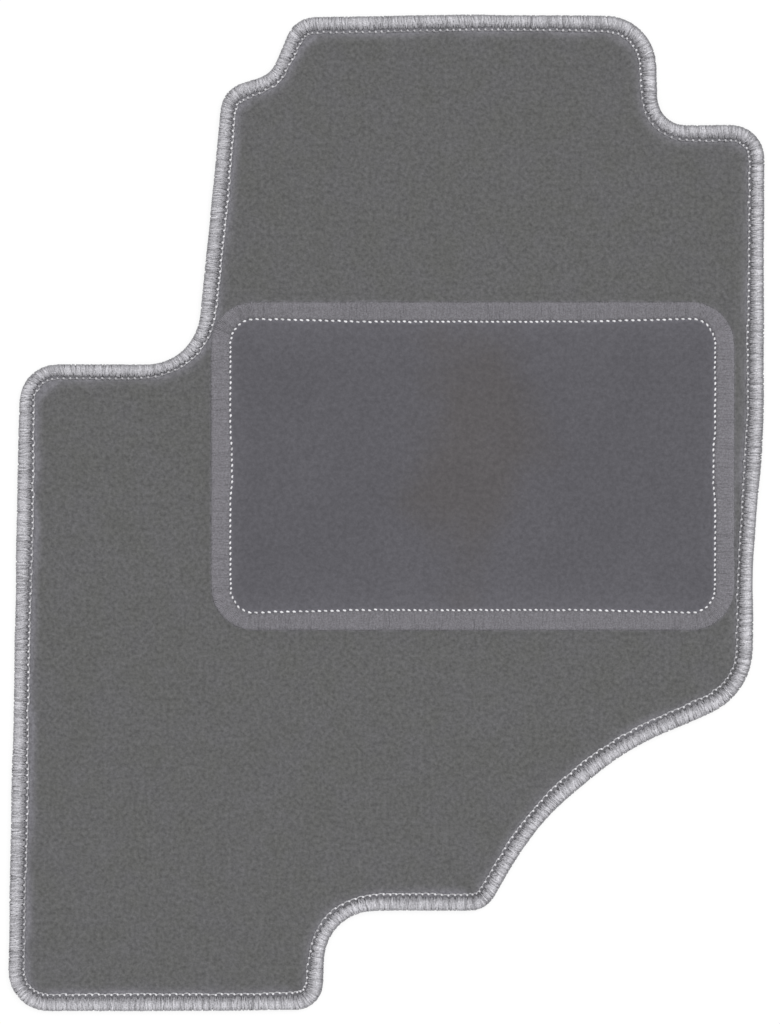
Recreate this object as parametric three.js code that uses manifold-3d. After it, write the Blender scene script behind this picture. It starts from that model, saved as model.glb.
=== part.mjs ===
// Driver's floor mat for a car: velour carpet on an anti-slip backing, a thick yarn
// wrapped round its edge, and a rectangular heel pad sewn on where the heels rest.
//
// Millimetres. +Z is up, +Y points at the pedals, +X is the right-hand side when
// seated. The origin is on the floor, under the middle of the mat's own box.
//
// Every piece follows one of two outlines: the mat's or the heel pad's. A piece is
// described in that outline's cross-section, as points [inset, height]: how far in from
// the outline, and how high above the floor.

import * as THREE from 'three';
import Module from 'manifold-3d';
import { mergeVertices } from 'three/addons/utils/BufferGeometryUtils.js';

// ---- Outlines -------------------------------------------------------------------

// The mat's corners, anticlockwise from the rear left: [x, y, radius].
const MAT_CORNERS = [
  [-251.5, -331, 27], // rear left
  [-43, -330, 18.5], // rear right of the toe that fills the footwell's left
  [-39.5, -264, 33], // inner corner beside that toe
  [66.3, -264, 18.5], // foot of the slanted side
  [101.7, -202.6, 200], // slanted side, hollowed along its length
  [159.8, -157, 200],
  [243, -120, 46.5], // right side, below the heel pad
  [244, -33, 200], // gentle bend in the right side
  [250.6, 65, 200],
  [251, 258, 22.5], // front right ear
  [180, 257.5, 18.5], // inner corner beside the ear
  [179, 330, 34], // front right
  [60, 331.1, 400], // the front edge bows out a little
  [-61, 329, 20], // front left
  [-77, 291, 17], // short step down to the left side
  [-109, 281.5, 20],
  [-126.7, 99, 36.5], // inner corner above the left wing
  [-243.5, 98.5, 25], // front left of the left wing
];

const PAD_LEFT = -116;
const PAD_RIGHT = 230.5;
const PAD_REAR = -77;
const PAD_FRONT = 139.5;
const PAD_CORNER_RADIUS = 28;

const CHORD_ERROR = 0.15; // how far a rounded corner's facets may cut inside its arc

// ---- Thicknesses and widths -----------------------------------------------------

const GAP = 0.3; // clearance between pieces that touch

const EDGE_YARN = {
  reach: 8.6, // width of the wrapped band, seen from above
  crest: 4.0, // inset of its highest line
  top: 6.6,
  lip: 5.0, // height of its inner border
  bottom: 0,
  pocketTop: 4.5, // the slot that holds the carpet's squeezed rim
  pocketBottom: 1.1,
  wall: 1.5, // yarn outside the carpet's cut edge
};

const CARPET_EDGE = EDGE_YARN.wall + GAP;
const RIM_UNDERSIDE = EDGE_YARN.pocketBottom + GAP;
const BACKING_TOP = 1.8;
const PRIMARY_BOTTOM = BACKING_TOP + GAP;
const PRIMARY_TOP = 2.7;
const PILE_BOTTOM = PRIMARY_TOP + GAP;
const PILE_RIM_TOP = EDGE_YARN.pocketTop - GAP;
const PILE_TOP = 6.8;
const PILE_SLOPE_START = 11.1; // pile stands free of the edge stitches from here
const PILE_SLOPE_FOOT = 11.7;
const PILE_SLOPE_FOOT_HEIGHT = 5.0;
const PILE_SLOPE_END = 15;
const BACKING_FIELD_START = 11.0;

const EDGE_STITCH = { inset: 10.0, height: 4.95, width: 1.4, thickness: 0.8 };
const EDGE_LOOPER = { inset: 9.8, height: 0.55, width: 1.5, thickness: 0.9 };

// The heel pad lies in a seat where its seam squeezes the pile.
const PAD_SEAT = 5.2;
const PAD_SEAT_MARGIN = 0.6;

const PAD_YARN = {
  reach: 11.4,
  crest: 1.6,
  top: 8.8,
  lip: 8.5,
  bottom: PAD_SEAT + GAP,
  pocketTop: 8.2,
  pocketBottom: 6.0,
  wall: 0.7,
};

const PAD_EDGE = PAD_YARN.wall + GAP;
const PAD_FIELD_START = PAD_YARN.reach + GAP;
const PAD_BACKING_TOP = 6.9;
const PAD_FACE_BOTTOM = PAD_BACKING_TOP + GAP;
const PAD_RIM_TOP = PAD_YARN.pocketTop - GAP;
const PAD_FACE_TOP = 8.6;
const PAD_GROOVE_END = 13.4; // the seam's groove, between the band and the panel
const PAD_PANEL_START = 13.9;

const PAD_STITCH = { inset: 12.3, height: 8.6, width: 1.2, thickness: 0.7 };
const PAD_BOBBIN = { inset: 12.3, height: 0.45, width: 1.1, thickness: 0.6 };
const BOBBIN_GROOVE = { halfWidth: 1.0, depth: 1.05 };

// ---- Materials ------------------------------------------------------------------

const cloth = (name, color, roughness) =>
  new THREE.MeshStandardMaterial({ name, color, roughness, metalness: 0 });

const MATERIAL = {
  velour: cloth('grey velour', 0x666667, 0.95),
  primary: cloth('primary backing cloth', 0x4c4c50, 0.9),
  antiSlip: cloth('anti-slip latex', 0x232325, 0.85),
  edgeYarn: cloth('light grey yarn', 0xb4b4ba, 0.75),
  whiteThread: cloth('white thread', 0xeeeeee, 0.6),
  heelFace: cloth('short nap', 0x616065, 0.9),
  heelBacking: cloth('heel pad backing', 0x3e3e42, 0.9),
  heelYarn: cloth('mid grey yarn', 0x7c7a7f, 0.7),
  bobbinThread: cloth('grey bobbin thread', 0x8c8c90, 0.6),
};

// ---- Outline stations -----------------------------------------------------------

// Turns corners into stations round the outline. Each holds its point and the unit
// vector that points into the mat there, so that a station's inset points follow it.
function outlineStations(corners) {
  const stations = [];
  corners.forEach(([x, y, radius], index) => {
    const corner = new THREE.Vector2(x, y);
    const previous = corners.at(index - 1);
    const next = corners[(index + 1) % corners.length];
    const arriving = corner.clone().sub(new THREE.Vector2(...previous)).normalize();
    const leaving = new THREE.Vector2(...next).sub(corner).normalize();
    const turn = Math.atan2(arriving.cross(leaving), arriving.dot(leaving));
    const side = Math.sign(turn);
    const inward = new THREE.Vector2(-arriving.y, arriving.x);
    const tangentLength = radius * Math.tan(Math.abs(turn) / 2);
    const centre = corner
      .clone()
      .addScaledVector(arriving, -tangentLength)
      .addScaledVector(inward, side * radius);
    const facetAngle = 2 * Math.acos(1 - CHORD_ERROR / radius);
    const facets = Math.ceil(Math.abs(turn) / facetAngle);
    const origin = new THREE.Vector2();
    for (let step = 0; step <= facets; step += 1) {
      const normal = inward.clone().rotateAround(origin, (turn * step) / facets);
      const point = centre.clone().addScaledVector(normal, -side * radius);
      stations.push({ point, normal });
    }
  });
  return stations;
}

function padCorners() {
  return [
    [PAD_LEFT, PAD_REAR, PAD_CORNER_RADIUS],
    [PAD_RIGHT, PAD_REAR, PAD_CORNER_RADIUS],
    [PAD_RIGHT, PAD_FRONT, PAD_CORNER_RADIUS],
    [PAD_LEFT, PAD_FRONT, PAD_CORNER_RADIUS],
  ];
}

// ---- Solids that follow an outline ----------------------------------------------

function stationLoop(stations, [inset, height]) {
  return stations.map(({ point, normal }) => [
    point.x + normal.x * inset,
    point.y + normal.y * inset,
    height,
  ]);
}

// Two triangles between each pair of neighbouring stations, from one loop to the next.
function wallTriangles(firstLoop, secondLoop, count) {
  const triangles = [];
  for (let here = 0; here < count; here += 1) {
    const ahead = (here + 1) % count;
    const corners = [firstLoop + here, secondLoop + here, secondLoop + ahead, firstLoop + ahead];
    triangles.push(corners[0], corners[1], corners[2]);
    triangles.push(corners[0], corners[2], corners[3]);
  }
  return triangles;
}

function geometryOf(vertices, triangles) {
  const geometry = new THREE.BufferGeometry();
  geometry.setAttribute('position', new THREE.Float32BufferAttribute(vertices.flat(), 3));
  geometry.setIndex(triangles);
  return geometry;
}

// A plate: its side runs through the levels from the top face down to the bottom face.
function plate(stations, levels) {
  const count = stations.length;
  const vertices = levels.flatMap((level) => stationLoop(stations, level));
  const triangles = [];
  for (let level = 0; level + 1 < levels.length; level += 1) {
    triangles.push(...wallTriangles(level * count, (level + 1) * count, count));
  }
  const capOutline = (first) =>
    vertices.slice(first, first + count).map(([x, y]) => new THREE.Vector2(x, y));
  for (const [a, b, c] of THREE.ShapeUtils.triangulateShape(capOutline(0), [])) {
    triangles.push(a, b, c);
  }
  const last = (levels.length - 1) * count;
  for (const [a, b, c] of THREE.ShapeUtils.triangulateShape(capOutline(last), [])) {
    triangles.push(last + a, last + c, last + b);
  }
  return geometryOf(vertices, triangles);
}

// A ring: a closed section, anticlockwise with inset to the right, carried all round.
function ring(stations, section) {
  const count = stations.length;
  const vertices = section.flatMap((corner) => stationLoop(stations, corner));
  const triangles = [];
  section.forEach((_, index) => {
    const next = (index + 1) % section.length;
    triangles.push(...wallTriangles(index * count, next * count, count));
  });
  return geometryOf(vertices, triangles);
}

// Yarn wrapped over a rim: rounded outside, with a slot that the rim goes into.
function wrapSection({ reach, crest, top, lip, bottom, pocketTop, pocketBottom, wall }) {
  const shape = new THREE.Shape();
  const middle = (top + bottom) / 2;
  shape.moveTo(reach, lip);
  shape.quadraticCurveTo((reach + crest) / 2, top, crest, top);
  shape.absellipse(crest, middle, crest, top - middle, Math.PI / 2, (3 * Math.PI) / 2);
  shape.lineTo(reach, bottom);
  shape.lineTo(reach, pocketBottom);
  shape.lineTo(wall, pocketBottom);
  shape.lineTo(wall, pocketTop);
  shape.lineTo(reach, pocketTop);
  const curveDivisions = 3;
  return shape.getPoints(curveDivisions).map(({ x, y }) => [x, y]);
}

// A sewing thread lying along the outline, as an oval of six sides.
function threadSection({ inset, height, width, thickness }) {
  const sides = 6;
  return Array.from({ length: sides }, (_, side) => {
    const angle = ((side + 0.5) / sides) * 2 * Math.PI;
    return [
      inset + (width / 2) * Math.cos(angle),
      height + (thickness / 2) * Math.sin(angle),
    ];
  });
}

// ---- Cutting --------------------------------------------------------------------

const wasm = await Module();
wasm.setup();

function toManifold(geometry) {
  const merged = mergeVertices(geometry);
  return new wasm.Manifold(
    new wasm.Mesh({
      numProp: 3,
      vertProperties: merged.attributes.position.array,
      triVerts: Uint32Array.from(merged.index.array),
    }),
  );
}

function cut(body, tool) {
  const { vertProperties, triVerts } = toManifold(body).subtract(toManifold(tool)).getMesh();
  const geometry = new THREE.BufferGeometry();
  geometry.setAttribute('position', new THREE.BufferAttribute(vertProperties, 3));
  geometry.setIndex(new THREE.BufferAttribute(triVerts, 1));
  return geometry;
}

// ---- The carpet -----------------------------------------------------------------

const matStations = outlineStations(MAT_CORNERS);
const padStations = outlineStations(padCorners());

// The pile: full height in the middle, squeezed thin where the yarn grips its rim, and
// pressed down to a flat seat under the heel pad.
function carpetPile() {
  const pile = plate(matStations, [
    [PILE_SLOPE_END, PILE_TOP],
    [PILE_SLOPE_FOOT, PILE_SLOPE_FOOT_HEIGHT],
    [PILE_SLOPE_START, PILE_RIM_TOP],
    [CARPET_EDGE, PILE_RIM_TOP],
    [CARPET_EDGE, PILE_BOTTOM],
  ]);
  const seat = plate(padStations, [
    [-PAD_SEAT_MARGIN, PILE_TOP + 1],
    [-PAD_SEAT_MARGIN, PAD_SEAT],
  ]);
  return cut(pile, seat);
}

function primaryBacking() {
  return plate(matStations, [
    [CARPET_EDGE, PRIMARY_TOP],
    [CARPET_EDGE, PRIMARY_BOTTOM],
  ]);
}

// The anti-slip coat: it lies on the floor, thins under the wrapped yarn, and has a
// groove in its underside for the thread that holds the heel pad on.
function antiSlipBacking() {
  const backing = plate(matStations, [
    [CARPET_EDGE, BACKING_TOP],
    [CARPET_EDGE, RIM_UNDERSIDE],
    [BACKING_FIELD_START, RIM_UNDERSIDE],
    [BACKING_FIELD_START, 0],
  ]);
  const inner = PAD_BOBBIN.inset + BOBBIN_GROOVE.halfWidth;
  const outer = PAD_BOBBIN.inset - BOBBIN_GROOVE.halfWidth;
  const groove = ring(padStations, [
    [outer, -1],
    [inner, -1],
    [inner, BOBBIN_GROOVE.depth],
    [outer, BOBBIN_GROOVE.depth],
  ]);
  return cut(backing, groove);
}

// ---- The heel pad ---------------------------------------------------------------

function heelPadFace() {
  return plate(padStations, [
    [PAD_PANEL_START, PAD_FACE_TOP],
    [PAD_GROOVE_END, PAD_RIM_TOP],
    [PAD_EDGE, PAD_RIM_TOP],
    [PAD_EDGE, PAD_FACE_BOTTOM],
  ]);
}

function heelPadBacking() {
  return plate(padStations, [
    [PAD_EDGE, PAD_BACKING_TOP],
    [PAD_EDGE, PAD_YARN.pocketBottom + GAP],
    [PAD_FIELD_START, PAD_YARN.pocketBottom + GAP],
    [PAD_FIELD_START, PAD_YARN.bottom],
  ]);
}

// ---- Assembly -------------------------------------------------------------------

function piece(name, geometry, material) {
  const mesh = new THREE.Mesh(geometry, material);
  mesh.name = name;
  return mesh;
}

const carpet = new THREE.Group();
carpet.add(
  piece('carpet_pile', carpetPile(), MATERIAL.velour),
  piece('carpet_primary_backing', primaryBacking(), MATERIAL.primary),
  piece('anti_slip_backing', antiSlipBacking(), MATERIAL.antiSlip),
);

const edging = new THREE.Group();
edging.add(
  piece('edge_overlock_yarn', ring(matStations, wrapSection(EDGE_YARN)), MATERIAL.edgeYarn),
  piece('edge_needle_thread', ring(matStations, threadSection(EDGE_STITCH)), MATERIAL.whiteThread),
  piece('edge_looper_thread', ring(matStations, threadSection(EDGE_LOOPER)), MATERIAL.edgeYarn),
);

const heelPad = new THREE.Group();
heelPad.add(
  piece('heel_pad_face', heelPadFace(), MATERIAL.heelFace),
  piece('heel_pad_backing', heelPadBacking(), MATERIAL.heelBacking),
  piece('heel_pad_overlock_yarn', ring(padStations, wrapSection(PAD_YARN)), MATERIAL.heelYarn),
  piece('heel_pad_seam_thread', ring(padStations, threadSection(PAD_STITCH)), MATERIAL.whiteThread),
  piece('heel_pad_bobbin_thread', ring(padStations, threadSection(PAD_BOBBIN)), MATERIAL.bobbinThread),
);

const floorMat = new THREE.Group();
floorMat.add(carpet, edging, heelPad);

export default floorMat;
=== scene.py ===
"""The looks of a driver's floor mat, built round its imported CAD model.

Velour carpet with a thick yarn wrapped round its edge, and a heel pad sewn on. Every
piece follows one of two outlines, the mat's or the heel pad's, both read from the frame.
A place on a piece is given by how far along its outline it is, its inset from the
outline, and its height above the floor. Everything is in metres. +Y is the front, where
the pedals are, and +X is the right. An outline's normals point inwards.
"""

from math import cos, pi, radians, sin, sqrt

import bpy
import numpy as np
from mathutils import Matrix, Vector, kdtree
from mathutils.geometry import delaunay_2d_cdt


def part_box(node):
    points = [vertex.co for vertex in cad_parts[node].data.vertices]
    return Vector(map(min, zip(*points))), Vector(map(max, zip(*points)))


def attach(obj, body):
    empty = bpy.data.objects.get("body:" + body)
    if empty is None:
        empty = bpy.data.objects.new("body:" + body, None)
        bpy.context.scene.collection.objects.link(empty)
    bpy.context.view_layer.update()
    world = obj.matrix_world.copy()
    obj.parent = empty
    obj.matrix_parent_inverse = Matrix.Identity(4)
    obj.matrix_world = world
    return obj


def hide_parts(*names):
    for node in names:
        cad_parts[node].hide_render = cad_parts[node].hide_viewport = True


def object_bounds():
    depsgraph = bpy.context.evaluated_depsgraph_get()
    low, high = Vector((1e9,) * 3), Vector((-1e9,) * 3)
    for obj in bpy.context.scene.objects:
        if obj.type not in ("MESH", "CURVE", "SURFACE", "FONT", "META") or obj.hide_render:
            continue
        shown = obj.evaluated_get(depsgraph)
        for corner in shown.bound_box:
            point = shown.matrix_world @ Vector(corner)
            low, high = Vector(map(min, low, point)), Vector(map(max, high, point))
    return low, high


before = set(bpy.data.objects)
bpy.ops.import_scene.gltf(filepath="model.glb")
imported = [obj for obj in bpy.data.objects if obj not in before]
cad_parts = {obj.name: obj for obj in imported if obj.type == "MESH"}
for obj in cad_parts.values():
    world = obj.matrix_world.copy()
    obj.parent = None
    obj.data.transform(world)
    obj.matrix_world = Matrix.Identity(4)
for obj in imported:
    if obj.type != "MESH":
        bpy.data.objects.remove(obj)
cad_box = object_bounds()

MM = 0.001
BODY = "root"
EDGE_YARN, PAD_YARN = "edge_overlock_yarn", "heel_pad_overlock_yarn"


def mm(*lengths):
    """Lengths in millimetres, as a list in metres."""
    return [length * MM for length in lengths]


# ---- The frame's sizes ----

def low(node):
    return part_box(node)[0].z


def high(node):
    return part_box(node)[1].z


def middle_height(node):
    return (low(node) + high(node)) / 2


def top_border(node):
    """The line round a plate's top face, anticlockwise, as an array of x, y."""
    weld = 1e-6  # corners closer than this are one
    level = 0.9  # the least normal.z of a face that counts as the top's
    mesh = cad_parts[node].data
    edges = set()
    for face in mesh.polygons:
        if face.normal.z < level:
            continue
        corners = [mesh.vertices[index].co for index in face.vertices]
        corners = [tuple(round(side / weld) for side in corner) for corner in corners]
        edges.update(zip(corners, corners[1:] + corners[:1]))
    ahead = {start: end for start, end in edges if (end, start) not in edges}
    line = [min(ahead)]
    while ahead[line[-1]] != line[0]:
        line.append(ahead[line[-1]])
    return np.array(line)[:, :2] * weld


# ---- Outlines ----

def blurred(values, samples):
    """Rows of values round a closed line, averaged over about that many samples."""
    frequency = np.fft.rfftfreq(len(values))
    weight = np.exp(-2 * (pi * frequency * samples) ** 2)
    weight = weight.reshape(-1, *[1] * (values.ndim - 1))
    return np.fft.irfft(np.fft.rfft(values, axis=0) * weight, len(values), axis=0)


def drift(random, count, samples):
    """Random values round a closed line that change slowly, with a spread of 1."""
    values = blurred(random.normal(0, 1, count), samples)
    return values / values.std()


def unit(vectors):
    return vectors / np.linalg.norm(vectors, axis=-1, keepdims=True)


def between(start, end, values):
    """0 before start, 1 after end, and a smooth change between them."""
    t = np.clip((values - start) / (end - start), 0, 1)
    return t * t * (3 - 2 * t)


def ramp(start, end, lengths):
    """The same for lengths, with start and end in millimetres."""
    return between(start * MM, end * MM, lengths)


def with_height(flat, height):
    """x, y and z from x and y."""
    height = np.broadcast_to(height, flat.shape[:-1])
    return np.concatenate([flat, height[..., None]], axis=-1)


class Outline:
    """A closed outline, sampled evenly along a line that lies at a known inset from it."""

    STEP = 0.5 * MM  # from one sample to the next
    ROUNDING = 1.5 * MM  # the line is smoothed over about this length,
    TURNING = 2.5 * MM  # and its direction over this one
    ROUNDS = 4  # of correcting an inset for the stitches' wander

    def __init__(self, border, inset):
        self.inset = inset
        closed = np.vstack([border, border[:1]])
        reached = np.concatenate([[0], np.cumsum(np.hypot(*np.diff(closed, axis=0).T))])
        self.length = reached[-1]
        count = round(self.length / self.STEP)
        self.along = np.arange(count) * self.length / count
        line = np.stack([np.interp(self.along, reached, side) for side in closed.T], axis=1)
        self.line = blurred(line, self.ROUNDING / self.STEP)
        steps = np.roll(self.line, -1, axis=0) - np.roll(self.line, 1, axis=0)
        ahead = unit(blurred(steps, self.TURNING / self.STEP))
        self.inward = np.stack([-ahead[:, 1], ahead[:, 0]], axis=1)
        after = np.roll(ahead, -1, axis=0)
        sine = ahead[:, 0] * after[:, 1] - ahead[:, 1] * after[:, 0]
        turn = np.arctan2(sine, (ahead * after).sum(1))
        self.curvature = turn * count / self.length
        self.tree = kdtree.KDTree(count)
        for index, (x, y) in enumerate(self.line):
            self.tree.insert((x, y, 0), index)
        self.tree.balance()
        self.wander = np.zeros(count)

    def size(self):
        return self.line.max(0) - self.line.min(0)

    def from_middle(self):
        """How far each sample lies from the outline's middle, sideways and lengthwise."""
        return np.abs(self.line - (self.line.max(0) + self.line.min(0)) / 2).T

    def area(self):
        x, y = self.line.T
        return abs(np.sum(x * np.roll(y, -1) - y * np.roll(x, -1))) / 2

    def bend(self, length):
        """The curvature at each sample, averaged over about this length."""
        return blurred(self.curvature, length / self.STEP)

    def read(self, values, along):
        """Values known at each sample, at these distances along the outline."""
        if values.ndim > 1:
            return np.stack([self.read(side, along) for side in values.T], axis=-1)
        return np.interp(along, self.along, values, period=self.length)

    def place(self, along, inset):
        """x, y of points at these distances along the outline and these insets."""
        moved = inset + self.read(self.wander, along) * self.follows(inset)
        across = self.normal(along) * (moved - self.inset)[..., None]
        return self.read(self.line, along) + across

    def grid(self, columns, insets):
        """x, y of one row of points for each inset, with one point at each column."""
        across = (len(insets), len(columns))
        insets = np.broadcast_to(np.reshape(insets, (-1, 1)), across)
        return self.place(np.broadcast_to(columns, across), insets)

    def follows(self, inset):
        """How fully a place at this inset goes along with the stitches' wander."""
        return ramp(3, 11, inset) * (1 - ramp(16, 40, inset))

    def normal(self, along):
        return unit(self.read(self.inward, along))

    def sideways(self, along):
        """Level directions square to the normal, as x, y and z."""
        normal = self.normal(along)
        return with_height(np.stack([normal[..., 1], -normal[..., 0]], axis=-1), 0)

    def stretch(self, along, inset):
        """How much longer a step along the outline is at this inset."""
        return 1 - self.read(self.curvature, along) * (inset - self.inset)

    def walk(self, inset, pitch, group=1, relative=1.0):
        """Distances along the outline of places that lie about pitch apart at this inset,
        or relative times the pitch where it varies. Their number is a multiple of group."""
        growth = (1 - self.curvature * (inset - self.inset)) / relative
        walked = np.concatenate([[0], np.cumsum(growth) * self.length / len(growth)])
        count = group * round(walked[-1] / pitch / group)
        ends = np.append(self.along, self.length)
        return np.interp(np.arange(count) * walked[-1] / count, walked, ends)

    def nearest(self, points):
        return np.array([self.tree.find((x, y, 0))[1] for x, y in points])

    def insets(self, points):
        """How far inside the outline each point lies; negative outside. It is the inset
        that place turns into this point, so it leaves the stitches' wander out."""
        nearest = self.nearest(points)
        moved = ((points - self.line[nearest]) * self.inward[nearest]).sum(1) + self.inset
        inset = moved
        for _ in range(self.ROUNDS):
            inset = moved - self.wander[nearest] * self.follows(inset)
        return inset


def outline_of(plate, outermost):
    """The outline that a plate lies inside, and that its outermost neighbour reaches."""
    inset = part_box(plate)[0].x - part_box(outermost)[0].x
    return Outline(top_border(plate), inset)


def thread_inset(node, outermost):
    """The inset of a ring of thread's middle, from its two sides on the mat's left."""
    widest = 5 * MM
    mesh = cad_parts[node].data
    x, y, _ = np.array([vertex.co for vertex in mesh.vertices]).T
    outer = x.min()
    beside = (np.abs(y - y[x.argmin()]) < 0.1 * MM) & (x < outer + widest)
    inner = x[beside].max()
    return (outer + inner) / 2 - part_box(outermost)[0].x


def seam_wander(outline):
    """How much further in the heel pad's seam runs than usual: it comes in at the middle
    of the left and right sides, and goes out towards the corners at the front and rear."""
    sideways, lengthwise = outline.from_middle()
    front_or_rear = outline.inward[:, 1] ** 2
    comes_in = 1.05 * MM * (1 - ramp(13, 22, lengthwise))
    comes_in += 0.3 * MM * (outline.inward[:, 0] < 0)
    goes_out = 1.9 * MM * np.clip(sideways / (75 * MM) - 1, 0, 1) - 0.2 * MM
    return comes_in * (1 - front_or_rear) - goes_out * front_or_rear


def inner_corners(outline):
    """1 at an outline's inner corners, and 0 on its straights and at its outer corners."""
    gentle, tight = 8, 20  # the curvatures of arcs of 125 mm and 50 mm
    return between(gentle, tight, -outline.bend(6 * MM))


def edge_wander(outline):
    """How much further in the edge's stitches run than usual. They cut the mat's inner
    corners, keep closer to the edge along the left wing's front, and stray a little."""
    random = np.random.default_rng(3)
    wing_front = (outline.line[:, 0] < -130 * MM) * np.clip(-outline.inward[:, 1], 0, 1)
    cuts = 1.4 * MM * inner_corners(outline) + 1.1 * MM * wing_front
    cuts = blurred(cuts, 8 * MM / outline.STEP)
    return drift(random, len(cuts), 22 * MM / outline.STEP) * 0.3 * MM - cuts


mat = outline_of("carpet_primary_backing", EDGE_YARN)
mat.wander = edge_wander(mat)
pad = outline_of("heel_pad_backing", PAD_YARN)
pad.wander = seam_wander(pad)


def feed_of_edge(outline):
    """The edge's stitches are closer together on the two sides of its front half."""
    x, y = outline.line.T
    front_half = ramp(-60, 0, y) * ramp(-180, -140, x)
    return 1 - 0.09 * front_half * outline.inward[:, 0] ** 2


def feed_of_seam(outline):
    """The seam's stitches are longest at the front and rear near the corners, and
    shortest on the left and right near the corners."""
    sideways, lengthwise = outline.from_middle()
    front_or_rear = outline.inward[:, 1] ** 2
    longer = 0.14 * ramp(50, 78, sideways)
    shorter = 0.15 * ramp(60, 72, lengthwise)
    return 1 + longer * front_or_rear - shorter * (1 - front_or_rear)


STITCH_INSET = thread_inset("edge_needle_thread", EDGE_YARN)
SEAM_INSET = thread_inset("heel_pad_seam_thread", PAD_YARN)
LOOPER_INSET = thread_inset("edge_looper_thread", EDGE_YARN)

WRAP_PITCH = 4.3 * MM  # from one stitch of the edge to the next
WRAP_STRANDS = 5
SEAM_PITCH = 3.65 * MM
COLUMNS_PER_STITCH = 3
EDGE_WALK = 5 * MM  # the inset at which the edge's wraps are evenly spaced
EDGE_CREST = 4 * MM  # the inset at which the edge's yarn is highest
# the height that the edge's stitches press the pile down to
STITCH_GROUND = high("carpet_pile") - 2.6 * MM


def following(places, length):
    """The next place after each, round an outline of this length."""
    return np.append(places[1:], places[0] + length)


edge_feed = feed_of_edge(mat)
wrap_strands = mat.walk(EDGE_WALK, WRAP_PITCH / WRAP_STRANDS, WRAP_STRANDS, edge_feed)
wrap_strands = wrap_strands.reshape(-1, WRAP_STRANDS)
wrap_middles = wrap_strands.mean(1)
wrap_middles += np.random.default_rng(1).normal(0, 0.2 * MM, len(wrap_middles))
stitch_starts = (wrap_middles + following(wrap_middles, mat.length)) / 2
seam_holes = pad.walk(SEAM_INSET, SEAM_PITCH, relative=feed_of_seam(pad))


# ---- Mesh building ----

def placed(name, data):
    """A new object in the scene."""
    made = bpy.data.objects.new(name, data)
    bpy.context.scene.collection.objects.link(made)
    return made


def piece(name, points, faces, material, slot, replaces=(), **attributes):
    """A smooth mesh piece. faces holds one array of corners per number of sides."""
    mesh = bpy.data.meshes.new(name)
    mesh.vertices.add(len(points))
    mesh.vertices.foreach_set("co", np.ascontiguousarray(points, np.float32).ravel())
    corners = np.concatenate([group.ravel() for group in faces])
    sizes = np.concatenate([np.full(len(group), group.shape[1]) for group in faces])
    mesh.loops.add(len(corners))
    mesh.loops.foreach_set("vertex_index", corners.astype(np.int32))
    mesh.polygons.add(len(sizes))
    mesh.polygons.foreach_set("loop_start", (np.cumsum(sizes) - sizes).astype(np.int32))
    mesh.update(calc_edges=True)
    mesh.shade_smooth()
    for label, values in attributes.items():
        kind, part = ("FLOAT", "value") if values.ndim == 1 else ("FLOAT_VECTOR", "vector")
        layer = mesh.attributes.new(label, kind, "POINT")
        layer.data.foreach_set(part, np.ascontiguousarray(values, np.float32).ravel())
    mesh.materials.append(material)
    made = placed(name, mesh)
    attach(made, BODY)
    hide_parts(*replaces)
    return made


def tubes(centres, across, half_width, half_height, shade, sides=6, swell=None):
    """Closed tubes, one for each row of centres, as points, faces and a thread attribute.
    across is the direction that half_width is measured in. The attribute holds the
    distance along the tube, the distance round it, and the tube's shade: its own tone
    together with any painted light and shade."""
    count, steps = centres.shape[:2]
    ahead = unit(np.gradient(centres, axis=1))
    side = unit(across - (across * ahead).sum(-1, keepdims=True) * ahead)
    outward = np.cross(ahead, side)
    angle = 2 * pi * np.arange(sides) / sides - pi / 2
    reach = np.ones((count, steps, sides)) if swell is None else swell(angle)
    wide = (reach * half_width[..., None] * np.cos(angle))[..., None] * side[:, :, None]
    tall = (reach * half_height[..., None] * np.sin(angle))[..., None] * outward[:, :, None]
    points = centres[:, :, None] + wide + tall
    points[..., 2] = np.maximum(points[..., 2], 0)

    index = np.arange(count * steps * sides).reshape(count, steps, sides)
    turned = np.roll(index, -1, axis=2)
    quads = np.stack([index[:, :-1], turned[:, :-1], turned[:, 1:], index[:, 1:]], axis=-1)
    caps = np.concatenate([index[:, 0, ::-1], index[:, -1]])

    lengths = np.linalg.norm(np.diff(centres, axis=1), axis=-1)
    along = np.concatenate([np.zeros((count, 1)), np.cumsum(lengths, axis=1)], axis=1)
    thread = np.empty((count, steps, sides, 3))
    thread[..., 0] = along[..., None]
    thread[..., 1] = np.mean(half_height) * (angle + pi / 2)
    thread[..., 2] = np.broadcast_to(shade, (count, steps))[..., None]
    return points.reshape(-1, 3), [quads.reshape(-1, 4), caps], thread.reshape(-1, 3)


def thread_piece(name, made, material, slot, node):
    """A piece made of tubes, or of anything with points, faces and a thread attribute."""
    points, faces, thread = made
    piece(name, points, faces, material, slot, [node], thread=thread)


def ring(outline, columns, section):
    """A closed section of insets and heights, anticlockwise with inset to the right."""
    insets, heights = zip(*section)
    points = with_height(outline.grid(columns, insets), np.reshape(heights, (-1, 1)))
    index = np.arange(points[..., 0].size).reshape(points.shape[:2])
    level, ahead = np.roll(index, -1, axis=0), np.roll(index, -1, axis=1)
    quads = np.stack([index, level, np.roll(level, -1, axis=1), ahead], axis=-1)
    return points.reshape(-1, 3), [quads.reshape(-1, 4)]


def lattice(lowest, highest, spacing, random):
    """Points of a triangular lattice over a box, each moved a little."""
    rows = np.arange(lowest[1], highest[1], spacing * sqrt(3) / 2)
    columns = np.arange(lowest[0], highest[0], spacing)
    x, y = np.meshgrid(columns, rows)
    x = x + spacing / 2 * (np.arange(len(rows)) % 2)[:, None]
    points = np.stack([x.ravel(), y.ravel()], axis=1)
    return points + random.uniform(-0.2, 0.2, points.shape) * spacing


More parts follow.
